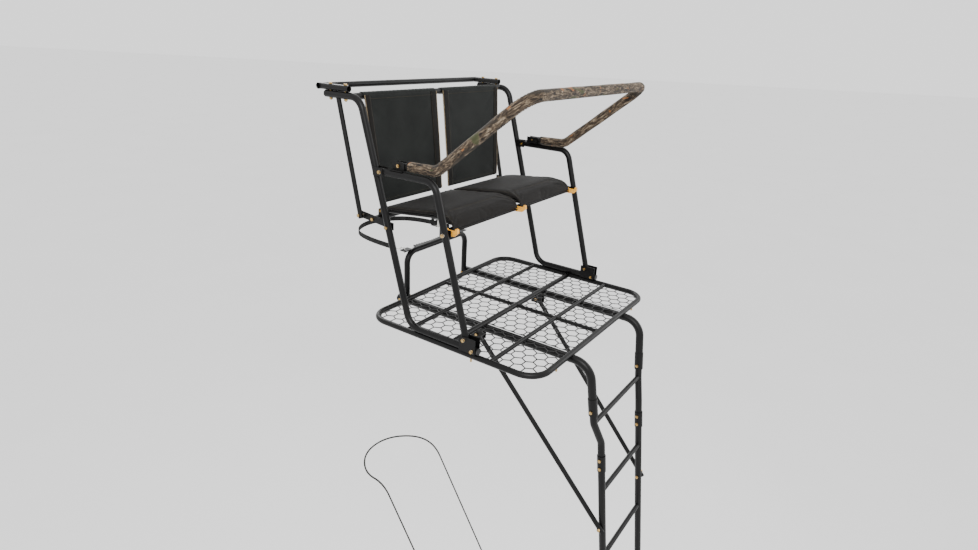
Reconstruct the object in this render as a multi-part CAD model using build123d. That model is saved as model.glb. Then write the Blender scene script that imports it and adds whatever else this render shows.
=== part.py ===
from build123d import *
import math
import os

# Two-person ladder tree stand.  Millimetres, +Z up, -Y is the ladder side, +Y is the tree side.
# The part's origin is where the trunk's axis meets the level of the ladder feet.
# Everything below is laid out from the platform: z = 0 is the ring's centre plane and
# y = 0 is the ring's rear tube.  save() moves it to the part's origin.

# ---- driving dimensions -------------------------------------------------------------
PLATFORM_HEIGHT = 4190.0       # platform ring above the ladder feet
TRUNK_AXIS_Y = 290.0           # trunk axis behind the ring's rear tube
STRAP_RADIUS = 227.0           # middle of the strap round a 450 mm trunk

RING_HALF_WIDTH = 533.5        # tube centre lines of the platform ring
RING_DEPTH = 864.0
RING_CORNER = 90.0
RING_TUBE = 25.4
WALL = 1.8                     # wall of every steel tube
GAP = 0.3                      # clearance between curved faces of neighbouring tubes

BAR_TUBE = 19.0                # bars inside the ring
MIDDLE_BAR_TUBE = 25.4
CENTRE_BAR_TUBE = 17.5         # the fore-and-aft bar on the centre line
MESH_CELL = 52.0               # hexagon, across flats
MESH_STRAND = 4.0
MESH_THICKNESS = 2.4

BEAM_X = 262.0                 # main beams under the platform
BEAM_TUBE = 36.0
BEAM_Z = -18.0
BEAM_REAR = 75.0
LADDER_LEAN = 0.14             # y moves this much for each mm of height

UPPER_LEG_X = 247.0            # ladder legs above and below the inward offset
LEG_X = 209.0
LEG_TUBE = 32.0
SLEEVE_TUBE = 38.0
RUNG_TUBE = 22.0
RUNG_PITCH = 341.0
FIRST_RUNG_Z = -289.0
RUNGS_PER_SECTION = 4

SIDE_X = 533.5                 # plane of the side frames and armrests
SIDE_TUBE = 28.6
SIDE_LEAN = 0.29
FOOT_Z = RING_TUBE / 2 + SIDE_TUBE / 2 + GAP
ARM_Z = 664.0
TOP_Z = 938.0
BRACE_TUBE = 22.0
CROSS_TUBE = 25.4

SEAT_PIVOT = (-8.0, 474.0)     # y, z
SEAT_INNER = 8.0
SEAT_OUTER = 485.0
SEAT_TUBE = 16.0

RAIL_X = 508.5                 # shooting rail side arms
RAIL_TUBE = 25.4
RAIL_PAD = 43.0
RAIL_PIVOT = (-165.0, 697.0)

HOOP_X = BEAM_X - BEAM_TUBE / 2 - GAP - SIDE_TUBE / 2
HOOP_Y = 53.0
HOOP_TOP = 208.0
STRAP_Z = 215.0
STRAP_WIDTH = 25.0
STRAP_THICK = 2.0
EYE_Y = 75.0

BOLT = 8.0
PLATE = 3.0

TO_ORIGIN = Location((0, -TRUNK_AXIS_Y, PLATFORM_HEIGHT))


# ---- helpers ------------------------------------------------------------------------
def save(name, *shapes):
    """Write one node: every solid of the given shapes, moved to the part's origin."""
    solids = []
    for shape in shapes:
        solids.extend(shape.solids())
    whole = solids[0] if len(solids) == 1 else Compound(children=solids)
    export_step(whole.moved(TO_ORIGIN), f"parts/{name}.step")


def save_pair(name, *right):
    """Write a right-hand node and its mirror image on the left."""
    save(f"{name}_right", *right)
    save(f"{name}_left", *[mirror(shape, about=Plane.YZ) for shape in right])


def save_both(name, right):
    """Write a right-hand piece and its mirror image as one node of separate solids."""
    save(name, *both(right))


groups = {}


def gather(name, *shapes):
    """Keep like pieces for one node, which is written at the end."""
    groups.setdefault(name, []).extend(shapes)


def route(points, bends):
    """A line, or straight runs joined by tangent arcs of the given radii."""
    if len(points) == 2:
        return Line(*points)
    return FilletPolyline(*points, radius=bends)


def rod(points, diameter, bends=None):
    """A solid round bar along a route."""
    path = route(points, bends)
    return sweep(Plane(origin=path @ 0, z_dir=path % 0) * Circle(diameter / 2), path=path)


def tube(points, diameter, bends=None, wall=WALL):
    """A hollow round tube along a route."""
    path = route(points, bends)
    section = Circle(diameter / 2) - Circle(diameter / 2 - wall)
    return sweep(Plane(origin=path @ 0, z_dir=path % 0) * section, path=path)


def block(x, y, z):
    """A box given by its lowest and highest x, y and z."""
    size = (x[1] - x[0], y[1] - y[0], z[1] - z[0])
    middle = ((x[0] + x[1]) / 2, (y[0] + y[1]) / 2, (z[0] + z[1]) / 2)
    return Pos(*middle) * Box(*size)


def along_x(x0, x1, y, z, diameter):
    return rod([(x0, y, z), (x1, y, z)], diameter)


def side_plate(outline, x0, x1):
    """A plate standing in the YZ plane between x0 and x1, from its (y, z) outline."""
    face = make_face(Polyline(*[(x0, y, z) for y, z in outline], close=True))
    return extrude(face, amount=x1 - x0, dir=(1, 0, 0))


def hexagon(across, thickness):
    return extrude(RegularPolygon(across / 2, 6, major_radius=False), amount=thickness)


def bolt(start, end, diameter=BOLT):
    """A hex bolt whose head stands beyond start and whose shank ends past end."""
    a = Vector(*start)
    b = Vector(*end)
    way = (b - a).normalized()
    shank = rod([a, b + way * 9], diameter)
    head = Plane(origin=a - way * 5.3, z_dir=way) * hexagon(13, 5.3)
    return shank + head


def nut(start, end, diameter=BOLT):
    """The nut of that bolt, standing on the face at end."""
    a = Vector(*start)
    b = Vector(*end)
    way = (b - a).normalized()
    body = Plane(origin=b, z_dir=way) * hexagon(13, 6)
    return body - rod([b - way, b + way * 8], diameter + 0.1)


def washer(point, way, diameter=BOLT):
    face = Plane(origin=point, z_dir=way) * (Circle(diameter) - Circle(diameter / 2 + 0.1))
    return extrude(face, amount=1.6)


def both(shape):
    """A shape and its mirror image."""
    return [shape, mirror(shape, about=Plane.YZ)]


def biggest(shape):
    """The largest solid of a shape, without the slips that a cut leaves behind."""
    return max(shape.solids(), key=lambda s: s.volume)


def upper_leg_y(z):
    return -976.0 + LADDER_LEAN * (z + 160)


def ladder_y(z):
    return -1026.0 + LADDER_LEAN * (z + 400)


def side_y(z):
    return -243.5 + SIDE_LEAN * z


def arm_leg_y(z):
    return -549.0 + SIDE_LEAN * z


# ---- platform -----------------------------------------------------------------------
BEAM_END = (249.0, -209.0)     # x, z


def beam_line(z):
    """A point at height z on the straight line that the right beam's lower leg follows."""
    share = (z - BEAM_Z) / (BEAM_END[1] - BEAM_Z)
    return (BEAM_X + share * (BEAM_END[0] - BEAM_X), upper_leg_y(z), z)


BEAM_PATH = [
    (BEAM_X, BEAM_REAR, BEAM_Z),
    beam_line(BEAM_Z),
    beam_line(BEAM_END[1]),
]
BEAM_BEND = [82]
beam_rod = rod(BEAM_PATH, BEAM_TUBE + 0.4, BEAM_BEND)
beam_rods = both(beam_rod)


def platform_ring(section):
    """The ring: one section swept round a rounded rectangle."""
    outline = Pos(0, -RING_DEPTH / 2) * RectangleRounded(2 * RING_HALF_WIDTH, RING_DEPTH, RING_CORNER)
    path = outline.face().outer_wire()
    return sweep(Plane(origin=path @ 0, z_dir=path % 0) * section, path=path)


ring_rod = platform_ring(Circle(RING_TUBE / 2 + 0.2))
BAR_Y = [-RING_DEPTH * part / 4 for part in (1, 2, 3)]
BAR_TUBES = [BAR_TUBE, MIDDLE_BAR_TUBE, BAR_TUBE]
bar_rods = [
    along_x(-RING_HALF_WIDTH, RING_HALF_WIDTH, y, 0, size + 0.4)
    for y, size in zip(BAR_Y, BAR_TUBES)
]


def platform_frame():
    ring = platform_ring(Circle(RING_TUBE / 2) - Circle(RING_TUBE / 2 - WALL))
    for beam in beam_rods:
        ring = ring - beam
    save("platform_ring", ring)
    for y, size in zip(BAR_Y, BAR_TUBES):
        bar = tube([(-RING_HALF_WIDTH, y, 0), (RING_HALF_WIDTH, y, 0)], size)
        bar = bar - ring_rod
        for beam in beam_rods:
            bar = bar - beam
        gather("platform_bars", *[s for s in bar.solids() if s.volume > 1000])
    centre = tube([(0, 0, 0), (0, -RING_DEPTH, 0)], CENTRE_BAR_TUBE) - ring_rod
    for bar in bar_rods:
        centre = centre - bar
    save("platform_center_bar", *[s for s in centre.solids() if s.volume > 1000])


def mesh_cells():
    """Centres of the hexagons: columns step along X, every second column is offset."""
    column = MESH_CELL * math.sqrt(3) / 2
    for i in range(-13, 14):
        for j in range(-1, 18):
            offset = MESH_CELL / 2 if i % 2 else 0
            yield (i * column, -j * MESH_CELL - offset)


def mesh_panel(x0, x1, y0, y1):
    """One sheet of hexagonal mesh, with a narrow plain rim along the tubes it is welded to."""
    middle = ((x0 + x1) / 2, (y0 + y1) / 2)
    panel = Pos(*middle) * Rectangle(x1 - x0, y1 - y0)
    inner = Pos(*middle) * Rectangle(x1 - x0 - MESH_STRAND, y1 - y0 - MESH_STRAND)
    hole = RegularPolygon((MESH_CELL - MESH_STRAND) / 2, 6, major_radius=False)
    reach = MESH_CELL / 2
    spots = []
    for x, y in mesh_cells():
        if x0 - reach < x < x1 + reach and y0 - reach < y < y1 + reach:
            spots.append(Pos(x, y) * hole)
    holes = [spot & inner for spot in spots]
    cut = [h for h in holes if h is not None and h.area > 60]
    sheet = panel
    for h in cut:
        sheet = sheet - h
    return extrude(Pos(0, 0, -MESH_THICKNESS / 2) * sheet, amount=MESH_THICKNESS)


def platform_mesh():
    """Four rows of four panels between the ring, the beams' lines and the bars."""
    edge_x = RING_HALF_WIDTH - RING_TUBE / 2
    columns = [
        (-edge_x, -BEAM_X - BEAM_TUBE / 2 + 6),
        (-BEAM_X + BEAM_TUBE / 2 - 6, -CENTRE_BAR_TUBE / 2),
        (CENTRE_BAR_TUBE / 2, BEAM_X - BEAM_TUBE / 2 + 6),
        (BEAM_X + BEAM_TUBE / 2 - 6, edge_x),
    ]
    lines = [(0, RING_TUBE)] + list(zip(BAR_Y, BAR_TUBES)) + [(-RING_DEPTH, RING_TUBE)]
    panels = []
    for x0, x1 in columns:
        for (ya, ta), (yb, tb) in zip(lines, lines[1:]):
            panels.append(mesh_panel(x0, x1, yb + tb / 2, ya - ta / 2))
    trimmed = []
    for panel in panels:
        for cutter in [ring_rod] + beam_rods:
            panel = panel - cutter
        trimmed.extend(s for s in panel.solids() if s.volume > 1000)
    save("platform_mesh", *trimmed)


STUD = 15.0


def ring_studs():
    """Weld studs under the front and left edges of the ring."""
    spots = [(-380, -RING_DEPTH), (380, -RING_DEPTH), (-RING_HALF_WIDTH, -560)]
    studs = [Pos(x, y, -RING_TUBE / 2 - STUD / 2) * Cylinder(4, STUD) for x, y in spots]
    gather("frame_bolts", *studs)


# ---- beams, ladder and its braces ---------------------------------------------------
SHIFT_TOP = -290.0
SHIFT_BOTTOM = -390.0
JOINTS_Z = [-490.0 - RUNGS_PER_SECTION * RUNG_PITCH * i for i in range(3)]
FOOT_LEVEL = -PLATFORM_HEIGHT
PAD_HEIGHT = 12.0


ROPE_LADDER_Z = -3900.0
EYE_BEHIND = 28.0              # rope eye's centre behind the leg's axis
EYE_RING = 9.0
EYE_WIRE = 2.5
EYE_SHANK = 6.0


def leg_point(z):
    return (LEG_X, ladder_y(z), z)


def eye_shank(diameter):
    """The shank of the right leg's rope eye, from in front of the leg to the ring."""
    y = ladder_y(ROPE_LADDER_Z)
    return rod([(LEG_X, y - 24, ROPE_LADDER_Z), (LEG_X, y + 18, ROPE_LADDER_Z)], diameter)


TRANSITION_PATH = [
    beam_line(-160.0),
    beam_line(SHIFT_TOP),
    (LEG_X, ladder_y(SHIFT_BOTTOM), SHIFT_BOTTOM),
    leg_point(JOINTS_Z[0]),
]
TRANSITION_BENDS = [60, 60]
LEAN_ROOM = 0.6                # keeps a level bolt's head off the leaning sleeve


def sleeve(z, rise=38.0):
    return rod([leg_point(z + rise), leg_point(z - rise)], SLEEVE_TUBE)


def cross_bolt_ends(z, x, y, radius=SLEEVE_TUBE / 2):
    return (x + radius, y, z), (x - radius, y, z)


def rung(z, x, y):
    return tube([(-x, y, z), (x, y, z)], RUNG_TUBE)


def ladder():
    """Beams, the transition section and three ladder sections, with sleeves and bolts."""
    beam = tube(BEAM_PATH, BEAM_TUBE, BEAM_BEND)
    transition = tube(TRANSITION_PATH, LEG_TUBE, TRANSITION_BENDS)
    transition_rod = rod(TRANSITION_PATH, LEG_TUBE + 0.4, TRANSITION_BENDS)
    upper_sleeve = rod([beam_line(-170.0), beam_line(-248.0)], BEAM_TUBE + 4)
    upper_sleeve = upper_sleeve - beam_rod - transition_rod
    shanks = []
    bolt_x, bolt_y, bolt_z = beam_line(-228.0)
    upper_bolt = cross_bolt_ends(bolt_z, bolt_x, bolt_y, BEAM_TUBE / 2 + 2 + LEAN_ROOM)
    shanks.append(upper_bolt)
    hole = rod([upper_bolt[0], upper_bolt[1]], BOLT + 0.4)
    upper_sleeve = upper_sleeve - hole
    transition = transition - hole
    save_pair("main_beam", beam - beam_cross_holes())
    gather("ladder_sleeves", *both(biggest(upper_sleeve)))

    ends = JOINTS_Z + [FOOT_LEVEL + PAD_HEIGHT]
    straight_rod = rod([leg_point(SHIFT_BOTTOM), leg_point(FOOT_LEVEL)], LEG_TUBE + 0.4)
    joint_holes = {}
    for index, z in enumerate(JOINTS_Z):
        holes = []
        for side in (-1, 1):
            where = z + side * 20
            ends_of_bolt = cross_bolt_ends(where, LEG_X, ladder_y(where))
            shanks.append(ends_of_bolt)
            holes.append(rod(list(ends_of_bolt), BOLT + 0.4))
        collar = sleeve(z) - straight_rod
        for hole in holes:
            collar = collar - hole
        joint_holes[index] = holes
        gather("ladder_sleeves", *both(collar))
    transition = transition - joint_holes[0][1]
    save_both("transition_legs", transition)
    first = rung(FIRST_RUNG_Z, UPPER_LEG_X, upper_leg_y(FIRST_RUNG_Z))
    for side in both(transition_rod):
        first = first - side
    gather("ladder_rungs", biggest(first))

    brace_hole = rod([(180, LOWER_BRACE[1], LOWER_BRACE[2]), (260, LOWER_BRACE[1], LOWER_BRACE[2])], 8.4)
    for index in range(3):
        top = ends[index] - 0.5
        bottom = ends[index + 1] + (0.5 if index < 2 else 0)
        leg = tube([leg_point(top), leg_point(bottom)], LEG_TUBE)
        leg = leg - joint_holes[index][0]
        if index < 2:
            leg = leg - joint_holes[index + 1][1]
        if index == 0:
            leg = leg - brace_hole
        if index == 2:
            leg = leg - eye_shank(EYE_SHANK + 0.3)
        save_both(f"ladder_legs_{index + 1}", leg)
        for number in range(RUNGS_PER_SECTION):
            count = 1 + index * RUNGS_PER_SECTION + number
            z = FIRST_RUNG_Z - RUNG_PITCH * count
            if z > FOOT_LEVEL + 100:
                bar = rung(z, LEG_X, ladder_y(z))
                for side in both(straight_rod):
                    bar = bar - side
                gather("ladder_rungs", biggest(bar))
    save("ladder_bolts", *[p for a, b in shanks for p in both(bolt(a, b))])
    save("ladder_nuts", *[p for a, b in shanks for p in both(nut(a, b))])


def ladder_feet():
    """Rubber boots on the ladder's lower ends, flat on the ground."""
    y = ladder_y(FOOT_LEVEL + 20)
    boot = Pos(LEG_X, y, FOOT_LEVEL + 32) * Cylinder(23, 64)
    boot = chamfer(boot.edges().group_by(Axis.Z)[-1], 5)
    leg_space = rod([leg_point(FOOT_LEVEL + PAD_HEIGHT), leg_point(FOOT_LEVEL + 120)], LEG_TUBE + 0.2)
    save_both("ladder_feet", boot - leg_space)


UPPER_BRACE = (BEAM_X, -405.0, -58.0)
LOWER_BRACE = (LEG_X + LEG_TUBE / 2 + BRACE_TUBE / 2 + GAP, ladder_y(-805), -805.0)


def beam_cross_holes():
    """The hole for the hoop's bolt through the rear of the right beam."""
    return along_x(BEAM_X - 30, BEAM_X + 30, HOOP_Y, BEAM_Z, BOLT + 0.4)


def support_braces():
    """Diagonal braces from clevises under the beams to the outer sides of the ladder legs."""
    start = Vector(*UPPER_BRACE)
    end = Vector(*LOWER_BRACE)
    way = (end - start).normalized()
    brace = tube([start - way * 18, end + way * 20], BRACE_TUBE)
    upper = ((BEAM_X + 16.5, -405, -58), (BEAM_X - 16.5, -405, -58))
    lower = (
        (LOWER_BRACE[0] + BRACE_TUBE / 2, LOWER_BRACE[1], LOWER_BRACE[2]),
        (LEG_X - LEG_TUBE / 2, LOWER_BRACE[1], LOWER_BRACE[2]),
    )
    for a, b in (upper, lower):
        brace = brace - rod([a, b], BOLT + 0.4)
    save_both("support_braces", brace)
    for x0 in (BEAM_X - 15.5, BEAM_X + 12.5):
        plate = block((x0, x0 + PLATE), (-435, -375), (-78, BEAM_Z))
        plate = plate - beam_rod - rod(list(upper), BOLT + 0.4)
        gather("brace_clevises", *both(biggest(plate)))
    pins = [p for a, b in (upper, lower) for p in both(bolt(a, b))]
    nuts = [p for a, b in (upper, lower) for p in both(nut(a, b))]
    gather("frame_bolts", *pins)
    gather("frame_nuts", *nuts)


# ---- lower tree brace ---------------------------------------------------------------
HOOP_PATH = [
    (-HOOP_X, HOOP_Y, -36),
    (-HOOP_X, HOOP_Y, HOOP_TOP),
    (HOOP_X, HOOP_Y, HOOP_TOP),
    (HOOP_X, HOOP_Y, -36),
]
HOOP_BENDS = [55, 55]


def tree_hoop():
    """The hoop that bears on the trunk, its bolts, its toothed blade and the strap eyes."""
    hoop = tube(HOOP_PATH, SIDE_TUBE, HOOP_BENDS)
    hoop_rod = rod(HOOP_PATH, SIDE_TUBE + 0.4, HOOP_BENDS)
    ends = ((BEAM_X + BEAM_TUBE / 2, HOOP_Y, BEAM_Z), (HOOP_X - SIDE_TUBE / 2, HOOP_Y, BEAM_Z))
    for hole in both(rod(list(ends), BOLT + 0.4)):
        hoop = hoop - hole
    save("tree_hoop", hoop)
    gather("frame_bolts", *both(bolt(*ends)))
    gather("frame_nuts", *both(nut(*ends)))
    front = HOOP_Y + SIDE_TUBE / 2 + 0.2
    teeth = 15
    pitch = 18.0
    outline = [(-teeth * pitch / 2, front)]
    for i in range(teeth):
        x = -teeth * pitch / 2 + i * pitch
        hollow = 10 * (1 - abs(x + pitch / 2) / (teeth * pitch / 2))
        outline.append((x, front + 30 - hollow))
        outline.append((x + pitch / 2, front + 39 - hollow))
    outline.append((teeth * pitch / 2, front + 30))
    outline.append((teeth * pitch / 2, front))
    face = make_face(Polyline(*outline, close=True))
    save("tree_blade", extrude(Pos(0, 0, HOOP_TOP - 2.5) * face, amount=5))
    eye = block((190, STRAP_RADIUS + 14), (HOOP_Y, EYE_Y + 13), (STRAP_Z - 2.5, STRAP_Z + 2.5))
    eye = eye - hoop_rod - Pos(STRAP_RADIUS, EYE_Y, STRAP_Z) * Cylinder(6.5, 20)
    save_both("strap_eyes", biggest(eye))


# ---- side frames and armrests -------------------------------------------------------
FOOT_FRONT = -592.0
TOP_REAR = 222.0


def foot_rod():
    return along_y(SIDE_X, FOOT_FRONT, side_y(FOOT_Z), FOOT_Z, SIDE_TUBE + 0.4)


def along_y(x, y0, y1, z, diameter):
    return rod([(x, y0, z), (x, y1, z)], diameter)


def side_frames():
    """Each side frame is one tube: foot on the platform, leaning upright, arm back to the tree."""
    points = [
        (SIDE_X, FOOT_FRONT, FOOT_Z),
        (SIDE_X, side_y(FOOT_Z), FOOT_Z),
        (SIDE_X, side_y(TOP_Z), TOP_Z),
        (SIDE_X, TOP_REAR, TOP_Z),
    ]
    bends = [70, 65]
    frame = tube(points, SIDE_TUBE, bends)
    frame_rod = rod(points, SIDE_TUBE + 0.4, bends)
    for hole in frame_holes():
        frame = frame - hole
    save_pair("side_frame", frame)
    plug = Pos(SIDE_X, FOOT_FRONT - 2, FOOT_Z) * Rot(90, 0, 0) * Cylinder(SIDE_TUBE / 2, 4)
    stem = Pos(SIDE_X, FOOT_FRONT + 6, FOOT_Z) * Rot(90, 0, 0) * Cylinder(SIDE_TUBE / 2 - WALL - 0.2, 12)
    save("foot_plugs", *both(plug + stem))
    return frame_rod


def frame_holes():
    """Bolt holes through the right side frame."""
    holes = [
        along_x(SIDE_X - 20, SIDE_X + 20, side_y(PLATE_FRONT_Z), PLATE_FRONT_Z, BOLT + 0.4),
        along_x(SIDE_X - 20, SIDE_X + 20, FOOT_BOLT_Y, FOOT_Z, BOLT + 0.4),
    ]
    for y in BRACE_BOLTS_Y:
        holes.append(rod([(SIDE_X, y, TOP_Z - 20), (SIDE_X, y, TOP_Z + 20)], BOLT + 0.4))
    return holes


PLATE_FRONT_Z = 438.0
FOOT_BOLT_Y = -572.0
LEG_BOLT_Z = 64.0
ARM_BOLT_Y = -88.0
BRACE_BOLTS_Y = (108.0, 194.0)
ARM_REAR = side_y(ARM_Z) - 24


def armrests(frame_rod):
    """Armrest tubes that turn down into the front legs, with their tabs and bolts."""
    top = (SIDE_X, arm_leg_y(ARM_Z), ARM_Z)
    points = [(SIDE_X, ARM_REAR, ARM_Z), top, (SIDE_X, arm_leg_y(FOOT_Z), FOOT_Z)]
    arm = tube(points, SIDE_TUBE, [60]) - foot_rod()
    outer = SIDE_X + SIDE_TUBE / 2
    inner = SIDE_X - SIDE_TUBE / 2
    arm_bolt = ((outer + 0.2 + PLATE, ARM_BOLT_Y, ARM_Z), (inner - 0.2 - PLATE, ARM_BOLT_Y, ARM_Z))
    leg_y = arm_leg_y(LEG_BOLT_Z)
    leg_bolt = ((outer + 0.2 + PLATE, leg_y, LEG_BOLT_Z), (inner - 0.2 - PLATE, leg_y, LEG_BOLT_Z))
    foot_bolt = ((outer + 0.2 + PLATE, FOOT_BOLT_Y, FOOT_Z), (inner - 0.2 - PLATE, FOOT_BOLT_Y, FOOT_Z))
    plate_y = arm_leg_y(CROSSBAR_Z)
    seat_bolt = ((outer, plate_y, CROSSBAR_Z), (inner - GAP - PLATE, plate_y, CROSSBAR_Z))
    for ends in (arm_bolt, leg_bolt, seat_bolt):
        arm = arm - rod(list(ends), BOLT + 0.4)
    save_pair("armrest", biggest(arm))
    for x0 in (outer + 0.2, inner - 0.2 - PLATE):
        tab = block((x0, x0 + PLATE), (ARM_BOLT_Y - 16, side_y(ARM_Z)), (ARM_Z - 17, ARM_Z + 17))
        gather("frame_tabs", *both(tab - rod(list(arm_bolt), BOLT + 0.4)))
        foot = block((x0, x0 + PLATE), (FOOT_BOLT_Y - 16, leg_y + 22), (FOOT_Z - 12, LEG_BOLT_Z + 16))
        foot = foot - rod(list(leg_bolt), BOLT + 0.4) - rod(list(foot_bolt), BOLT + 0.4)
        gather("frame_tabs", *both(foot))
    sets = [arm_bolt, leg_bolt, foot_bolt, seat_bolt]
    gather("frame_bolts", *[p for a, b in sets for p in both(bolt(shift_x(a, 1.6), b))])
    gather("frame_nuts", *[p for a, b in sets for p in both(nut(a, b))])
    save("armrest_washers", *[p for a, b in sets for p in both(washer(a, (1, 0, 0)))])


def shift_x(point, amount):
    return (point[0] + amount, point[1], point[2])


# ---- upper tree brace and backrest bar ----------------------------------------------
UPPER_Z = TOP_Z + SIDE_TUBE / 2 + GAP + CROSS_TUBE / 2
UPPER_REAR = 253.0
BACK_BAR_Y = 80.0


def upper_brace(frame_rod):
    """The bar across the trunk and its two arms bolted on top of the side frames."""
    reach = SIDE_X + 14
    crossbar = tube([(-reach, UPPER_REAR, UPPER_Z), (reach, UPPER_REAR, UPPER_Z)], CROSS_TUBE)
    crossbar_rod = along_x(-reach, reach, UPPER_REAR, UPPER_Z, CROSS_TUBE + 0.4)
    save("upper_crossbar", crossbar)
    arm = tube([(SIDE_X, 88, UPPER_Z), (SIDE_X, UPPER_REAR, UPPER_Z)], CROSS_TUBE) - crossbar_rod
    sets = []
    for y in BRACE_BOLTS_Y:
        ends = ((SIDE_X, y, UPPER_Z + CROSS_TUBE / 2), (SIDE_X, y, TOP_Z - SIDE_TUBE / 2))
        sets.append(ends)
        arm = arm - rod([(SIDE_X, y, UPPER_Z - 20), (SIDE_X, y, UPPER_Z + 20)], BOLT + 0.4)
    save_both("upper_brace_arms", biggest(arm))
    gather("frame_bolts", *[p for a, b in sets for p in both(bolt(a, b))])
    gather("frame_nuts", *[p for a, b in sets for p in both(nut(a, b))])
    bar = tube([(-SIDE_X, BACK_BAR_Y, TOP_Z), (SIDE_X, BACK_BAR_Y, TOP_Z)], CROSS_TUBE)
    for side in both(frame_rod):
        bar = bar - side
    save("backrest_bar", biggest(bar))


# ---- seat supports ------------------------------------------------------------------
CROSSBAR_Z = 470.5
CROSSBAR_Y = -388.0
REAR_BAR = (-12.0, 447.0)
STRUT_BOLT = (44.0, 458.0)
PLATE_X = SIDE_X - SIDE_TUBE / 2 - GAP - PLATE
EAR_X = (20.0, 466.0)
EAR = 4.0
PIVOT_PIN = 8.0


def seat_supports(frame_rod):
    """Rear seat brackets, rear and front crossbars, the struts and the pivot ears."""
    front_y = side_y(PLATE_FRONT_Z)
    outline = [(front_y - 14, 424), (front_y - 14, 454), (62, 474), (62, 444)]
    plate = side_plate(outline, PLATE_X, PLATE_X + PLATE)
    outer = SIDE_X + SIDE_TUBE / 2
    strut_x = SIDE_X
    front = ((outer, front_y, PLATE_FRONT_Z), (PLATE_X, front_y, PLATE_FRONT_Z))
    strut = ((strut_x + 10, *STRUT_BOLT), (PLATE_X, *STRUT_BOLT))
    for ends in (front, strut):
        plate = plate - along_x(PLATE_X - 5, PLATE_X + 10, ends[0][1], ends[0][2], BOLT + 0.4)
    plate = plate - along_x(PLATE_X - 5, PLATE_X + 10, *REAR_BAR, BOLT + 0.4)
    save_both("seat_brackets", plate)
    bar_half = PLATE_X - 0.1
    bar = tube([(-bar_half, *REAR_BAR), (bar_half, *REAR_BAR)], CROSS_TUBE, wall=3)
    save("seat_rear_bar", bar)
    end_screw = rod([(bar_half - 25, *REAR_BAR), (PLATE_X + PLATE, *REAR_BAR)], BOLT)
    end_head = Plane(origin=(PLATE_X + PLATE, *REAR_BAR), z_dir=(1, 0, 0)) * hexagon(13, 5.3)
    insert = along_x(bar_half - 24, bar_half - 2, *REAR_BAR, CROSS_TUBE - 6.2) - end_screw
    gather("frame_bolts", *both(end_screw + end_head))
    gather("spacers", *both(insert))

    top = Vector(strut_x, 152, TOP_Z - 4)
    low = Vector(strut_x, *STRUT_BOLT)
    way = (low - top).normalized()
    strut_tube = tube([top, low + way * 14], 20.0) - frame_rod
    strut_tube = strut_tube - along_x(strut_x - 15, strut_x + 15, *STRUT_BOLT, BOLT + 0.4)
    save_both("rear_struts", biggest(strut_tube))
    spacer = along_x(PLATE_X + PLATE + 0.1, strut_x - 10.2, *STRUT_BOLT, 14)
    spacer = spacer - along_x(PLATE_X, strut_x, *STRUT_BOLT, BOLT + 0.4)
    gather("spacers", *both(spacer))
    gather("frame_bolts", *[p for a, b in (front, strut) for p in both(bolt(a, b))])
    gather("frame_nuts", *[p for a, b in (front, strut) for p in both(nut(a, b))])

    tab_y = arm_leg_y(CROSSBAR_Z)
    tab = block((PLATE_X, PLATE_X + PLATE), (tab_y - 16, CROSSBAR_Y + 15), (CROSSBAR_Z - 16, CROSSBAR_Z + 16))
    tab = tab - along_x(PLATE_X - 5, PLATE_X + 10, tab_y, CROSSBAR_Z, BOLT + 0.4)
    gather("frame_tabs", *both(tab))
    front_bar = tube(
        [(-bar_half, CROSSBAR_Y, CROSSBAR_Z), (bar_half, CROSSBAR_Y, CROSSBAR_Z)], BRACE_TUBE
    )
    save("seat_front_bar", front_bar)

    ears = []
    pins = []
    bar_rod = along_x(-bar_half, bar_half, *REAR_BAR, CROSS_TUBE + 0.2)
    for x in EAR_X:
        ear = ear_plate(x) - bar_rod
        ears.extend(both(biggest(ear)))
        pins.extend(both(pivot_pin(x)))
    save("seat_ears", *ears)
    save("seat_pivot_pins", *pins)


def ear_plate(x):
    """A rounded plate on the rear bar that holds one pivot of a seat."""
    y, z = SEAT_PIVOT
    low = Plane(origin=(x, *REAR_BAR), z_dir=(1, 0, 0)) * Cylinder(19, EAR)
    high = Plane(origin=(x, y, z), z_dir=(1, 0, 0)) * Cylinder(11, EAR)
    web = block((x - EAR / 2, x + EAR / 2), (y - 11, y + 11), (REAR_BAR[1], z))
    return low + high + web - along_x(x - 9, x + 9, y, z, PIVOT_PIN)


def pivot_pin(x):
    """A pin through an ear and the seat frame's end, with a head on the ear's side."""
    y, z = SEAT_PIVOT
    side = 1 if x < 200 else -1
    start = x - side * EAR / 2
    far = x + side * (EAR / 2 + 0.6 + SEAT_TUBE + 4)
    shank = along_x(min(start, far), max(start, far), y, z, PIVOT_PIN - 0.1)
    head_x = start - side * 1.5
    return shank + Plane(origin=(head_x, y, z), z_dir=(1, 0, 0)) * Cylinder(7, 3)


SADDLE = 12.0
SADDLE_X = 497.0


def saddles():
    """Three clips on the front crossbar that reach forward between the seats."""
    clips = []
    bar = along_x(-600, 600, CROSSBAR_Y, CROSSBAR_Z, BRACE_TUBE + 0.1)
    for x in (-SADDLE_X, 0.0, SADDLE_X):
        ring = Plane(origin=(x, CROSSBAR_Y, CROSSBAR_Z), z_dir=(1, 0, 0)) * Cylinder(15, SADDLE)
        outline = [(-400, 457), (-432, 460), (-449, 476), (-447, 492), (-438, 492), (-434, 480), (-396, 480)]
        tongue = side_plate(outline, x - SADDLE / 2, x + SADDLE / 2)
        clips.append(ring + tongue - bar)
    save("seat_saddles", *clips)


# ---- seats --------------------------------------------------------------------------
SEAT_TOP = [(-22, 492.5), (-318, 526), (-380, 514), (-406, 497), (-414, 468)]
RAIL_IN = EAR_X[0] + EAR / 2 + 0.6 + SEAT_TUBE / 2
RAIL_OUT = EAR_X[1] - EAR / 2 - 0.6 - SEAT_TUBE / 2


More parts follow.
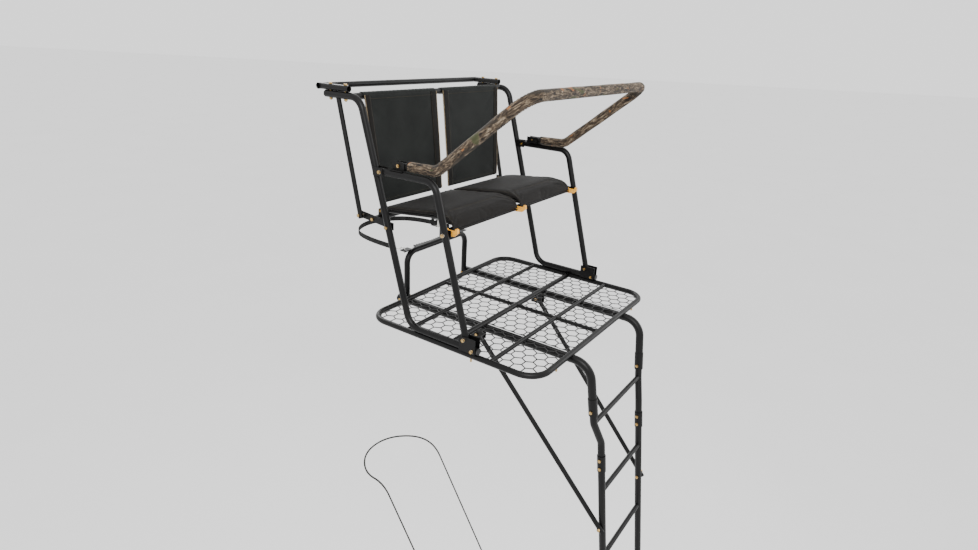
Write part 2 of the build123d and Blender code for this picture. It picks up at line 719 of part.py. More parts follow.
def seat_frame_path():
    y, z = SEAT_PIVOT
    return [
        (RAIL_IN, y, z),
        (RAIL_IN, -330, 508),
        (RAIL_IN, -385, 490),
        (RAIL_OUT, -385, 490),
        (RAIL_OUT, -330, 508),
        (RAIL_OUT, y, z),
    ], [60, 25, 25, 60]


def sling_section(x):
    """The seat's side profile as a closed face in the YZ plane."""
    outer = FilletPolyline(*[(x, y, z) for y, z in SEAT_TOP], radius=[60, 30, 14])
    lower = [
        (x, -406, 468), (x, -398.5, 494), (x, -376, 505.2), (x, -318, 517.5), (x, -22, 484.6),
    ]
    inner = FilletPolyline(*lower, radius=[12, 20, 50])
    back = Line(outer @ 0, inner @ 1)
    front = Line(outer @ 1, inner @ 0)
    return make_face([outer, front, inner, back])


def seats():
    points, bends = seat_frame_path()
    hole_y, hole_z = SEAT_PIVOT
    stub = 10.0
    points[0] = (RAIL_IN, hole_y + stub, hole_z + stub * (hole_z - 508) / (hole_y + 330))
    points[-1] = (RAIL_OUT, points[0][1], points[0][2])
    frame = tube(points, SEAT_TUBE, bends, wall=1.5)
    frame = frame - along_x(0, 500, hole_y, hole_z, PIVOT_PIN + 0.1)
    rail_rods = rod(points, SEAT_TUBE + 0.2, bends)
    y = -60.0
    z = hole_z + (y - hole_y) * (508 - hole_z) / (-330 - hole_y)
    stay = tube([(RAIL_IN, y, z), (RAIL_OUT, y, z)], 12.0, wall=1.5) - rail_rods
    save_pair("seat_frame", frame, biggest(stay))
    sling = extrude(sling_section(SEAT_INNER), amount=SEAT_OUTER - SEAT_INNER, dir=(1, 0, 0))
    save_pair("seat_sling", sling)


# ---- backrests ----------------------------------------------------------------------
BACK_TOP = (BACK_BAR_Y - CROSS_TUBE / 2 - 3, TOP_Z + 4)
BACK_LOW = (14.0, 497.0)
BACK_THICK = 4.0


def backrests():
    """Two sling panels hung from the backrest bar, wider at the top."""
    def level(half_in, half_out, point):
        y, z = point
        corners = [(half_in, y), (half_out, y), (half_out, y - BACK_THICK), (half_in, y - BACK_THICK)]
        return make_face(Polyline(*[(x, yy, z) for x, yy in corners], close=True))

    panel = loft([level(24, 446, BACK_LOW), level(23, 478, BACK_TOP)])
    save_pair("backrest_sling", panel)


# ---- shooting rail ------------------------------------------------------------------
RAIL_PATH = [
    (-RAIL_X, RAIL_PIVOT[0] + 8, RAIL_PIVOT[1]),
    (-RAIL_X, -345, 700),
    (-RAIL_X, -730, 1010),
    (RAIL_X, -730, 1010),
    (RAIL_X, -345, 700),
    (RAIL_X, RAIL_PIVOT[0] + 8, RAIL_PIVOT[1]),
]
RAIL_BENDS = [70, 80, 80, 70]
PAD_REAR = -207.0


def shooting_rail():
    """A padded U-shaped rail pivoted on brackets on the armrests."""
    pin_y, pin_z = RAIL_PIVOT
    rail = tube(RAIL_PATH, RAIL_TUBE, RAIL_BENDS)
    rail = rail - along_x(-RAIL_X - 20, RAIL_X + 20, pin_y, pin_z, PIVOT_PIN + 0.1)
    save("rail_tube", rail)
    pad_points = list(RAIL_PATH)
    share = (PAD_REAR - pin_y - 8) / (-345 - pin_y - 8)
    z = pin_z + share * (700 - pin_z)
    pad_points[0] = (-RAIL_X, PAD_REAR, z)
    pad_points[-1] = (RAIL_X, PAD_REAR, z)
    wall = (RAIL_PAD - RAIL_TUBE) / 2 - 0.2
    save("rail_pad", tube(pad_points, RAIL_PAD, RAIL_BENDS, wall=wall))
    side = RAIL_TUBE / 2 + 0.6
    base_z = ARM_Z + SIDE_TUBE / 2 + 0.2
    parts = [
        block((RAIL_X - side - PLATE, SIDE_X + 10), (-200, -130), (base_z, base_z + PLATE)),
        block((RAIL_X - side - PLATE, RAIL_X - side), (-196, -134), (base_z, pin_z + 14)),
        block((RAIL_X + side, RAIL_X + side + PLATE), (-196, -134), (base_z, pin_z + 14)),
        block((RAIL_X - side, RAIL_X + side), (-200, -188), (base_z, pin_z - RAIL_TUBE / 2 - 0.3)),
    ]
    bracket = parts[0] + parts[1] + parts[2] + parts[3]
    hole = along_x(RAIL_X - 30, RAIL_X + 30, pin_y, pin_z, PIVOT_PIN)
    save_both("rail_brackets", bracket - hole)
    shank = along_x(RAIL_X - side - PLATE - 2, RAIL_X + side + PLATE + 7, pin_y, pin_z, PIVOT_PIN - 0.1)
    head = Plane(origin=(RAIL_X + side + PLATE, pin_y, pin_z), z_dir=(1, 0, 0)) * hexagon(13, 5.3)
    save_both("rail_pins", shank + head)


# ---- ratchet strap and stabiliser rope ----------------------------------------------
EYE_END = 84.0
RATCHET_Y = 215.0
SPOOL_X = STRAP_RADIUS + STRAP_THICK / 2 + 0.3 + 6.0


def strap_section(path):
    """Flat webbing, standing on edge."""
    plane = Plane(origin=path @ 0, x_dir=(0, 0, 1), z_dir=path % 0)
    return sweep(plane * Rectangle(STRAP_WIDTH, STRAP_THICK), path=path)


def strap_route():
    """Taut route: straight beside the trunk, then half round it in four equal turns."""
    corner = STRAP_RADIUS / math.cos(math.radians(22.5))
    side = STRAP_RADIUS * math.tan(math.radians(22.5))
    start = (-STRAP_RADIUS, EYE_Y + EYE_END, STRAP_Z)
    points = [start, (-STRAP_RADIUS, TRUNK_AXIS_Y + side, STRAP_Z)]
    for angle in (112.5, 67.5):
        turn = math.radians(angle)
        points.append((corner * math.cos(turn), TRUNK_AXIS_Y + corner * math.sin(turn), STRAP_Z))
    points.append((STRAP_RADIUS, TRUNK_AXIS_Y + side, STRAP_Z))
    points.append((STRAP_RADIUS, RATCHET_Y + 1, STRAP_Z))
    return points


def strap_hook():
    """A wire hook through the eye plate, with a closed eye for the webbing."""
    x = STRAP_RADIUS
    y = EYE_Y - 3
    z = STRAP_Z
    points = [(x, y + 66, z), (x, y + 30, z), (x, y + 18, z + 11), (x, y, z + 11), (x, y, z - 13)]
    wire = rod(points, 6.0, [9, 7, 7])
    eye = Pos(x, y + 74, z) * Torus(9.5, 3)
    return wire + eye


def ratchet_strap():
    path = FilletPolyline(*strap_route(), radius=STRAP_RADIUS * 0.99)
    save("ratchet_strap", strap_section(path))
    short = Line((STRAP_RADIUS, EYE_Y + EYE_END, STRAP_Z), (STRAP_RADIUS, 173.5, STRAP_Z))
    save("ratchet_strap_tail", strap_section(short))
    save_both("strap_hooks", strap_hook())


def ratchet():
    """Frame, toothed spool, folding handle and its release bar."""
    z = STRAP_Z
    frame = block((220, 222), (172, 236), (z - 17, z + 17))
    for z0 in (z - 17, z + 15):
        side = block((220, 246), (170, 236), (z0, z0 + 2))
        frame = frame + side
    frame = frame + Pos(STRAP_RADIUS, 178, z) * Cylinder(4, 33)
    frame = frame - Pos(SPOOL_X, RATCHET_Y, z) * Cylinder(6.05, 60)
    save("ratchet_frame", frame)
    spool = Pos(SPOOL_X, RATCHET_Y, z) * Cylinder(6, 46)
    for z0 in (z - 19.3, z + 17.3):
        spool = spool + toothed_wheel(z0)
    save("ratchet_spool", spool)
    handle = None
    for z0 in (z - 22.2, z + 19.8):
        arm = Pos(SPOOL_X, RATCHET_Y, z0 + 1.2) * Cylinder(10, 2.4)
        arm = arm + block((SPOOL_X - 3, SPOOL_X + 10), (RATCHET_Y, 292), (z0, z0 + 2.4))
        handle = arm if handle is None else handle + arm
    handle = handle + block((SPOOL_X, SPOOL_X + 10), (276, 292), (z - 20, z + 20))
    handle = handle - Pos(SPOOL_X, RATCHET_Y, z) * Cylinder(6.05, 60)
    save("ratchet_handle", handle)
    release = block((SPOOL_X + 1, SPOOL_X + 9), (246, 264), (z - 19, z + 19))
    save("ratchet_release", fillet(release.edges().filter_by(Axis.Z), 2))


def toothed_wheel(z0):
    teeth = 12
    outline = []
    for i in range(teeth):
        start = 2 * math.pi * i / teeth
        for radius, turn in ((9.0, 0.0), (12.0, 0.45)):
            angle = start + turn
            x = SPOOL_X + radius * math.cos(angle)
            y = RATCHET_Y + radius * math.sin(angle)
            outline.append((x, y, z0))
    face = make_face(Polyline(*outline, close=True))
    return extrude(face, amount=2, dir=(0, 0, 1))


ROPE = 10.0
ROPE_TRUNK_Z = -1250.0
TRUNK_SIDE = 232.0


def rope_route():
    """From the left ladder leg up to the trunk, half round its back and down to the right leg."""
    eye = Vector(LEG_X, ladder_y(ROPE_LADDER_Z) + EYE_BEHIND, ROPE_LADDER_Z)
    far = Vector(TRUNK_SIDE, TRUNK_AXIS_Y - 60, ROPE_TRUNK_Z)
    start = eye + (far - eye).normalized() * (EYE_RING + EYE_WIRE + 0.3)
    leg = (start.X, start.Y, start.Z)
    corner = TRUNK_SIDE / math.cos(math.radians(22.5))
    side = TRUNK_SIDE * math.tan(math.radians(22.5))
    right = [leg, (far.X, far.Y, far.Z), (TRUNK_SIDE, TRUNK_AXIS_Y + side, ROPE_TRUNK_Z)]
    turn = math.radians(67.5)
    right.append((corner * math.cos(turn), TRUNK_AXIS_Y + corner * math.sin(turn), ROPE_TRUNK_Z))
    left = [(-x, y, z) for x, y, z in right]
    return left + right[::-1]


def stabiliser():
    """The rope that steadies the ladder, and the eye bolts that hold it."""
    turn = TRUNK_SIDE * 0.98
    save("stabiliser_rope", rod(rope_route(), ROPE, [80, turn, turn, turn, turn, 80]))
    y = ladder_y(ROPE_LADDER_Z)
    eye = Pos(LEG_X, y + EYE_BEHIND, ROPE_LADDER_Z) * Rot(0, 90, 0) * Torus(EYE_RING, EYE_WIRE)
    save("rope_eye_bolts", *both(eye + eye_shank(EYE_SHANK)))


# ---- build --------------------------------------------------------------------------
platform_frame()
platform_mesh()
ring_studs()
ladder()
ladder_feet()
support_braces()
tree_hoop()
side_rod = side_frames()
armrests(side_rod)
upper_brace(side_rod)
seat_supports(side_rod)
saddles()
seats()
backrests()
shooting_rail()
ratchet_strap()
ratchet()
stabiliser()
for node, members in groups.items():
    save(node, *members)
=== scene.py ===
import math

import bmesh
import bpy
import numpy as np
from mathutils import Matrix, Vector
from mathutils.bvhtree import BVHTree


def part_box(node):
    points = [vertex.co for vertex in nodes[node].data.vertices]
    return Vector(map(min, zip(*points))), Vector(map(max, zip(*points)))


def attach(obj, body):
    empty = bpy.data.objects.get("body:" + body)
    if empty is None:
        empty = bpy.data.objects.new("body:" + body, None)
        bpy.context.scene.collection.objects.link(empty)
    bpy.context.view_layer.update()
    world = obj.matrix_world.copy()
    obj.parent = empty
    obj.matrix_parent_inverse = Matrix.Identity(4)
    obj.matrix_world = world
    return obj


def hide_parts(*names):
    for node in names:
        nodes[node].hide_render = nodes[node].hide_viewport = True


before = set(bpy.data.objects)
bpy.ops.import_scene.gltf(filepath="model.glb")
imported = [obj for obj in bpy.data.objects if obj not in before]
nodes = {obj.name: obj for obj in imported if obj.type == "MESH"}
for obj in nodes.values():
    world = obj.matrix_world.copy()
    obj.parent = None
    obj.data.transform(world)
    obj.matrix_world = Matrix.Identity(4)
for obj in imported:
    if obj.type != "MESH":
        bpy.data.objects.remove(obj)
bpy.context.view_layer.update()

# The platform is where most of the object is: its ring's centre plane and rear tube set the places.
ring_low, ring_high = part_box("platform_ring")
RING_TUBE = ring_high[2] - ring_low[2]
DECK_Z = (ring_high[2] + ring_low[2]) / 2
REAR_Y = ring_high[1] - RING_TUBE / 2


def at(x, y, z):
    """A point given in metres from the middle of the ring's rear tube."""
    return Vector((x, REAR_Y + y, DECK_Z + z))


# ---- camera -------------------------------------------------------------------------
CAMERA_PLACE = at(-2.2885, -1.7938, 1.1861)
CAMERA_YAW = math.radians(56.326)       # to the right of +Y
CAMERA_PITCH = math.radians(21.345)     # below the horizon
CAMERA_ROLL = math.radians(3.072)
CAMERA_LENS = 22.43


def add_camera():
    sin_yaw, cos_yaw = math.sin(CAMERA_YAW), math.cos(CAMERA_YAW)
    sin_pitch, cos_pitch = math.sin(CAMERA_PITCH), math.cos(CAMERA_PITCH)
    ahead = Vector((sin_yaw * cos_pitch, cos_yaw * cos_pitch, -sin_pitch))
    level = Vector((ahead.y, -ahead.x, 0)).normalized()
    upright = level.cross(ahead)
    right = level * math.cos(CAMERA_ROLL) + upright * math.sin(CAMERA_ROLL)
    up = upright * math.cos(CAMERA_ROLL) - level * math.sin(CAMERA_ROLL)
    data = bpy.data.cameras.new("camera")
    data.lens = CAMERA_LENS
    data.sensor_width = 36
    data.clip_end = 100
    camera = bpy.data.objects.new("camera", data)
    bpy.context.collection.objects.link(camera)
    camera.matrix_world = Matrix.Translation(CAMERA_PLACE) @ Matrix((right, up, -ahead)).transposed().to_4x4()
    bpy.context.scene.camera = camera


# ---- materials ----------------------------------------------------------------------
class Nodes:
    """A new material's node tree, with short ways to add and link nodes."""

    def __init__(self, name):
        self.material = bpy.data.materials.new(name)
        self.material.use_nodes = True
        self.tree = self.material.node_tree
        self.shader = self.tree.nodes["Principled BSDF"]
        self.place = self.tree.nodes.new("ShaderNodeTexCoord")

    def add(self, kind, **values):
        node = self.tree.nodes.new("ShaderNode" + kind)
        for key, value in values.items():
            if key in node.inputs:
                node.inputs[key].default_value = value
            else:
                setattr(node, key, value)
        return node

    def link(self, source, output, target, entry):
        self.tree.links.new(source.outputs[output], target.inputs[entry])

    def scaled(self, space, scale):
        mapping = self.add("Mapping")
        mapping.inputs["Scale"].default_value = scale
        self.link(self.place, space, mapping, "Vector")
        return mapping

    def noise(self, scale, detail=3.0, roughness=0.55, space="Object", stretch=(1, 1, 1)):
        mapping = self.scaled(space, stretch)
        noise = self.add("TexNoise", Scale=scale, Detail=detail, Roughness=roughness)
        self.link(mapping, "Vector", noise, "Vector")
        return noise

    def ramp(self, source, output, stops):
        ramp = self.add("ValToRGB")
        elements = ramp.color_ramp.elements
        while len(elements) < len(stops):
            elements.new(0.5)
        for element, (where, colour) in zip(elements, stops):
            element.position = where
            element.color = (*colour, 1)
        self.link(source, output, ramp, "Fac")
        return ramp

    def bump(self, source, output, strength, distance, below=None):
        bump = self.add("Bump", Strength=strength, Distance=distance)
        self.link(source, output, bump, "Height")
        if below:
            self.link(below, "Normal", bump, "Normal")
        return bump

    def finish(self, roughness=None, metallic=0.0, **values):
        if roughness is not None:
            self.shader.inputs["Roughness"].default_value = roughness
        self.shader.inputs["Metallic"].default_value = metallic
        for key, value in values.items():
            self.shader.inputs[key.replace("_", " ")].default_value = value
        return self.material


def powder_coat():
    """Satin black powder coat: fine orange peel, slightly dusty in patches."""
    m = Nodes("powder_coat")
    patches = m.noise(9, detail=5)
    colour = m.ramp(patches, "Fac", [(0.3, (0.0015, 0.0015, 0.0018)), (0.75, (0.005, 0.0047, 0.0046))])
    m.link(colour, "Color", m.shader, "Base Color")
    gloss = m.ramp(patches, "Fac", [(0.25, (0.3, 0.3, 0.3)), (0.8, (0.5, 0.5, 0.5))])
    m.link(gloss, "Color", m.shader, "Roughness")
    peel = m.noise(900, detail=2)
    scuffs = m.noise(60, detail=6)
    low = m.bump(scuffs, "Fac", 0.12, 0.0006)
    m.link(m.bump(peel, "Fac", 0.25, 0.0002, low), "Normal", m.shader, "Normal")
    return m.finish(Specular_IOR_Level=0.2)


def worn_steel():
    """The platform mesh: the same coat, rubbed duller by boots."""
    m = Nodes("worn_steel")
    wear = m.noise(14, detail=6, roughness=0.65)
    colour = m.ramp(wear, "Fac", [(0.35, (0.003, 0.003, 0.0035)), (0.7, (0.012, 0.0115, 0.011))])
    m.link(colour, "Color", m.shader, "Base Color")
    m.link(m.bump(m.noise(500), "Fac", 0.3, 0.0003), "Normal", m.shader, "Normal")
    return m.finish(roughness=0.5, Specular_IOR_Level=0.3)


def plated(name, dark, light, roughness):
    """Plated hardware with cloudy passivation and light scratches."""
    m = Nodes(name)
    clouds = m.noise(120, detail=5)
    colour = m.ramp(clouds, "Fac", [(0.3, dark), (0.7, light)])
    m.link(colour, "Color", m.shader, "Base Color")
    scratches = m.noise(600, detail=3, stretch=(1, 1, 6))
    m.link(m.bump(scratches, "Fac", 0.2, 0.0002), "Normal", m.shader, "Normal")
    return m.finish(roughness=roughness, metallic=1.0)


def moulded(name, dark, light, roughness):
    """Moulded plastic or rubber: cloudy tone and a fine grain."""
    m = Nodes(name)
    clouds = m.noise(35, detail=4)
    colour = m.ramp(clouds, "Fac", [(0.3, dark), (0.75, light)])
    m.link(colour, "Color", m.shader, "Base Color")
    m.link(m.bump(m.noise(1400), "Fac", 0.2, 0.0001), "Normal", m.shader, "Normal")
    return m.finish(roughness=roughness)


def woven(name, dark, light, pitch, roughness=0.75, sheen=0.04):
    """Coated mesh fabric: crossed yarns of the given pitch, with slow changes of tone."""
    m = Nodes(name)
    tone = m.noise(7, detail=6, roughness=0.6)
    colour = m.ramp(tone, "Fac", [(0.3, dark), (0.72, light)])
    m.link(colour, "Color", m.shader, "Base Color")
    waves = []
    for direction in ("X", "Z"):
        wave = m.add("TexWave", wave_type="BANDS", bands_direction=direction, Scale=1 / pitch / 3.2)
        wave.inputs["Distortion"].default_value = 0.4
        m.link(m.place, "Object", wave, "Vector")
        waves.append(wave)
    both = m.add("Math", operation="MULTIPLY")
    m.link(waves[0], "Fac", both, 0)
    m.link(waves[1], "Fac", both, 1)
    creases = m.bump(m.noise(22, detail=5), "Fac", 0.3, 0.002)
    m.link(m.bump(both, "Value", 0.6, 0.0005, creases), "Normal", m.shader, "Normal")
    return m.finish(roughness=roughness, Sheen_Weight=sheen, Specular_IOR_Level=0.12)


def bark_camouflage():
    """Printed bark: long grey-brown ridges, black cracks, and a few rust and green leaves."""
    m = Nodes("bark_camouflage")
    ridges = m.noise(1, detail=8, roughness=0.68, space="UV", stretch=(26, 95, 1))
    ridges.inputs["Distortion"].default_value = 0.9
    bark = m.ramp(ridges, "Fac", [
        (0.38, (0.008, 0.006, 0.0045)), (0.47, (0.045, 0.031, 0.02)),
        (0.56, (0.13, 0.095, 0.062)), (0.68, (0.33, 0.265, 0.19)),
    ])
    cracks = m.noise(1, detail=5, roughness=0.6, space="UV", stretch=(16, 60, 1))
    cracks.inputs["Distortion"].default_value = 1.6
    crack_line = m.ramp(cracks, "Fac", [(0.46, (1, 1, 1)), (0.492, (0.06, 0.05, 0.04)), (0.525, (1, 1, 1))])
    dark = m.add("MixRGB", blend_type="MULTIPLY", Fac=0.9)
    m.link(bark, "Color", dark, "Color1")
    m.link(crack_line, "Color", dark, "Color2")
    last = dark
    leaves = (
        ("rust", (0.26, 0.10, 0.03), (13, 22, 1), 0.64),
        ("moss", (0.04, 0.046, 0.018), (9, 19, 5), 0.645),
        ("shade", (0.02, 0.016, 0.012), (7, 16, 9), 0.6),
    )
    for label, colour, stretch, threshold in leaves:
        patch = m.noise(1, detail=3, space="UV", stretch=stretch)
        patch.label = label
        patch.inputs["Distortion"].default_value = 0.6
        shift = m.tree.nodes[patch.name].inputs["Vector"].links[0].from_node
        shift.inputs["Location"].default_value = (stretch[2] * 3.1, stretch[2] * 1.7, stretch[2])
        edge = m.ramp(patch, "Fac", [(threshold, (0, 0, 0)), (threshold + 0.03, (0.85, 0.85, 0.85))])
        mix = m.add("MixRGB", blend_type="MIX")
        mix.inputs["Color2"].default_value = (*colour, 1)
        m.link(edge, "Color", mix, "Fac")
        m.link(last, "Color", mix, "Color1")
        last = mix
    m.link(last, "Color", m.shader, "Base Color")
    cloth = m.noise(1500, detail=2)
    folds = m.bump(ridges, "Fac", 0.35, 0.0015)
    m.link(m.bump(cloth, "Fac", 0.3, 0.0003, folds), "Normal", m.shader, "Normal")
    return m.finish(roughness=0.85, Sheen_Weight=0.05, Specular_IOR_Level=0.25)


def webbing(name, dark, light, scale):
    """Narrow woven band or braid: diagonal yarns."""
    m = Nodes(name)
    tone = m.noise(40, detail=4)
    colour = m.ramp(tone, "Fac", [(0.3, dark), (0.75, light)])
    m.link(colour, "Color", m.shader, "Base Color")
    wave = m.add("TexWave", wave_type="BANDS", bands_direction="DIAGONAL", Scale=scale)
    m.link(m.place, "Object", wave, "Vector")
    m.link(m.bump(wave, "Fac", 0.7, 0.0006), "Normal", m.shader, "Normal")
    return m.finish(roughness=0.8, Specular_IOR_Level=0.12)


def matt_floor():
    """Plain pale floor, with a very slow change of tone."""
    m = Nodes("pale_floor")
    tone = m.noise(0.6, detail=3)
    colour = m.ramp(tone, "Fac", [(0.2, (0.9, 0.9, 0.9)), (0.8, (0.93, 0.93, 0.93))])
    m.link(colour, "Color", m.shader, "Base Color")
    return m.finish(roughness=0.9)


COAT = powder_coat()
DECK = worn_steel()
YELLOW_ZINC = plated("yellow_zinc", (0.30, 0.19, 0.07), (0.62, 0.43, 0.19), 0.33)
BRIGHT_ZINC = plated("bright_zinc", (0.42, 0.41, 0.39), (0.72, 0.71, 0.68), 0.3)
AMBER = moulded("amber_plastic", (0.72, 0.30, 0.02), (0.95, 0.50, 0.06), 0.35)
BLACK_PLASTIC = moulded("black_plastic", (0.008, 0.008, 0.008), (0.02, 0.02, 0.02), 0.5)
RUBBER = moulded("black_rubber", (0.010, 0.010, 0.010), (0.028, 0.027, 0.026), 0.8)
SEAT_CLOTH = woven("seat_cloth", (0.0026, 0.0021, 0.0018), (0.0065, 0.0052, 0.0042), 0.0022, roughness=0.7)
BACK_CLOTH = woven("back_cloth", (0.0042, 0.005, 0.0045), (0.0115, 0.013, 0.0118), 0.0024, roughness=0.7)
HEM_CLOTH = woven("hem_cloth", (0.0032, 0.0028, 0.0024), (0.0085, 0.0072, 0.006), 0.0016)
PIPING = webbing("tan_piping", (0.10, 0.075, 0.045), (0.22, 0.17, 0.11), 240)
THREAD = webbing("thread", (0.05, 0.042, 0.03), (0.10, 0.085, 0.06), 500)
CAMOUFLAGE = bark_camouflage()
WEBBING = webbing("black_webbing", (0.008, 0.008, 0.008), (0.03, 0.03, 0.03), 170)
ROPE = webbing("black_rope", (0.012, 0.012, 0.012), (0.05, 0.048, 0.045), 130)

NODE_MATERIALS = {
    "platform_mesh": DECK,
    "frame_bolts": YELLOW_ZINC,
    "frame_nuts": YELLOW_ZINC,
    "ladder_bolts": YELLOW_ZINC,
    "ladder_nuts": YELLOW_ZINC,
    "rail_pins": YELLOW_ZINC,
    "seat_pivot_pins": YELLOW_ZINC,
    "armrest_washers": BRIGHT_ZINC,
    "spacers": BRIGHT_ZINC,
    "strap_hooks": BRIGHT_ZINC,
    "ratchet_spool": BRIGHT_ZINC,
    "ratchet_frame": BRIGHT_ZINC,
    "rope_eye_bolts": BRIGHT_ZINC,
    "seat_saddles": AMBER,
    "foot_plugs": BLACK_PLASTIC,
    "ratchet_handle": BLACK_PLASTIC,
    "ratchet_release": BRIGHT_ZINC,
    "ladder_feet": RUBBER,
}


def dress_frame():
    for name, node in nodes.items():
        node.data.materials.clear()
        node.data.materials.append(NODE_MATERIALS.get(name, COAT))


# ---- mesh helpers -------------------------------------------------------------------
def piece(name, vertices, faces, material, smooth=True):
    mesh = bpy.data.meshes.new(name)
    mesh.from_pydata([tuple(v) for v in vertices], [], faces)
    mesh.materials.append(material)
    mesh.polygons.foreach_set("use_smooth", [smooth] * len(mesh.polygons))
    mesh.update()
    thing = bpy.data.objects.new(name, mesh)
    bpy.context.collection.objects.link(thing)
    return thing


def rounded(points, radii, step):
    """Points along straight runs joined by tangent arcs, about a step apart."""
    points = [Vector(p) for p in points]
    line = [points[0]]
    for before, corner, after, radius in zip(points, points[1:], points[2:], radii):
        back = (before - corner).normalized()
        ahead = (after - corner).normalized()
        half = back.angle(ahead) / 2
        reach = radius / math.tan(half)
        middle = corner + (back + ahead).normalized() * radius / math.sin(half)
        start = corner + back * reach
        end = corner + ahead * reach
        count = max(4, int(radius * (math.pi - 2 * half) / step))
        for i in range(count + 1):
            arm = (start - middle).lerp(end - middle, i / count)
            spot = middle + arm.normalized() * radius
            line.append(spot)
    line.append(points[-1])
    dense = [line[0]]
    for a, b in zip(line, line[1:]):
        count = max(1, round((b - a).length / step))
        dense.extend(a.lerp(b, i / count) for i in range(1, count + 1))
    return dense


def frames_along(line):
    """(point, side, up, distance) along a line, carried without twist from a level start."""
    tangents = []
    for i in range(len(line)):
        ahead = line[min(i + 1, len(line) - 1)] - line[max(i - 1, 0)]
        tangents.append(ahead.normalized())
    up = Vector((0, 0, 1))
    travelled = 0.0
    result = []
    for i, (point, tangent) in enumerate(zip(line, tangents)):
        up = (up - tangent * up.dot(tangent)).normalized()
        if i:
            travelled += (point - line[i - 1]).length
        result.append((point, up.cross(tangent), up, travelled))
    return result


CLOTH_GIRTH = 0.135                     # one turn round a swept piece, in UV units


def swept(name, line, radius_at, segments, material):
    """A tube along a line; radius_at(distance, angle) gives its surface. UVs are metres."""
    rings = frames_along(line)
    total = rings[-1][3]
    vertices = []
    for point, side, up, travelled in rings:
        for k in range(segments):
            angle = 2 * math.pi * k / segments - math.pi / 2
            radius = radius_at(travelled, angle, total)
            vertices.append(point + (side * math.cos(angle) + up * math.sin(angle)) * radius)
    faces = []
    count = len(rings)
    for i in range(count - 1):
        for k in range(segments):
            after = (k + 1) % segments
            faces.append((i * segments + k, (i + 1) * segments + k,
                          (i + 1) * segments + after, i * segments + after))
    faces.append(tuple(range(segments)))
    faces.append(tuple((count - 1) * segments + k for k in reversed(range(segments))))
    tube = piece(name, vertices, faces, material)
    layer = tube.data.uv_layers.new(name="route")
    for polygon in tube.data.polygons:
        columns = [v % segments for v in polygon.vertices]
        wraps = max(columns) - min(columns) > segments / 2
        for loop, vertex, column in zip(polygon.loop_indices, polygon.vertices, columns):
            around = segments if wraps and column == 0 else column
            layer.data[loop].uv = (rings[vertex // segments][3], around / segments * CLOTH_GIRTH)
    return tube


def cord_along(name, line, radius, material, sides=8):
    """A thin round cord, such as piping, along a line."""
    return swept(name, line, lambda s, a, total: radius, sides, material)


SEWING = (0.006, 0.0042, 0.0006)         # pitch, length and radius of a stitch
RAIL_SEWING = (0.008, 0.0055, 0.0007)


def stitches(name, line, pitch, length, radius, material):
    """One mesh of short thread stitches along a line."""
    vertices = []
    faces = []
    travelled = 0.0
    wanted = pitch / 2
    for a, b in zip(line, line[1:]):
        run = (b - a).length
        while run > 0 and wanted <= travelled + run:
            centre = a.lerp(b, (wanted - travelled) / run)
            way = (b - a).normalized()
            side = way.orthogonal().normalized()
            up = way.cross(side)
            base = len(vertices)
            for share, size in ((-0.5, 0.35), (-0.3, 1.0), (0.3, 1.0), (0.5, 0.35)):
                for k in range(6):
                    angle = math.pi * k / 3
                    offset = (side * math.cos(angle) + up * math.sin(angle)) * radius * size
                    vertices.append(centre + way * length * share + offset)
            for ring in range(3):
                for k in range(6):
                    a0 = base + ring * 6 + k
                    a1 = base + ring * 6 + (k + 1) % 6
                    faces.append((a0, a1, a1 + 6, a0 + 6))
            faces.append(tuple(base + k for k in reversed(range(6))))
            faces.append(tuple(base + 18 + k for k in range(6)))
            wanted += pitch
        travelled += run
    return piece(name, vertices, faces, material)


def smooth_subdivide(thing):
    modifier = thing.modifiers.new("smooth", "SUBSURF")
    modifier.levels = 1
    modifier.render_levels = 1


def apply_modifiers(thing):
    """The piece's mesh becomes what its modifiers make of it."""
    bpy.context.view_layer.update()
    graph = bpy.context.evaluated_depsgraph_get()
    result = bpy.data.meshes.new_from_object(thing.evaluated_get(graph))
    thing.modifiers.clear()
    thing.data = result


# ---- seats --------------------------------------------------------------------------
def inflate(thing, pressure, frames):
    """Cloth simulation of a closed shape under inner pressure, applied to its mesh."""
    cloth = thing.modifiers.new("cloth", "CLOTH")
    settings = cloth.settings
    settings.quality = 6
    settings.mass = 0.3
    settings.use_pressure = True
    settings.uniform_pressure_force = pressure
    settings.effector_weights.gravity = 0
    cloth.point_cache.frame_start = 1
    cloth.point_cache.frame_end = frames
    scene = bpy.context.scene
    for number in range(1, frames + 1):
        scene.frame_set(number)
    apply_modifiers(thing)
    scene.frame_set(1)


def clamped(thing, before, down, out, rear):
    """Limits how far the swollen surface may have moved, to nothing at the rear edge."""
    count = len(thing.data.vertices)
    now = np.empty(count * 3)
    thing.data.vertices.foreach_get("co", now)
    now = now.reshape(-1, 3)
    move = now - before
    length = np.linalg.norm(move, axis=1, keepdims=True)
    share = np.clip((rear - before[:, 1:2]) / REAR_TAPER, 0, 1)
    move *= np.minimum(1, out * share / np.maximum(length, 1e-9))
    move[:, 2] = np.maximum(move[:, 2], -down)
    move[:, 0] = np.clip(move[:, 0], -0.003, 0.003)
    thing.data.vertices.foreach_set("co", (before + move).ravel())
    thing.data.update()


SEAT_VOXEL = 0.006
SEAT_CROWN = 0.007                      # how far the cloth may swell
SEAT_SHRINK = 0.0015                    # and how far it may sink
REAR_TAPER = 0.07                       # the swelling dies out over this length at the rear
SEAM_INSET = 0.012
SEAM_BACK = 0.063
SEAM_CORNER = 0.058
SEAM_WIDTH = 0.0035
SEAM_DEPTH = 0.0015
CREASE_REACH = 0.17
CREASE_HEIGHT = 0.0016
SIDE_HEM = 0.016
BINDING_RADIUS = 0.0034


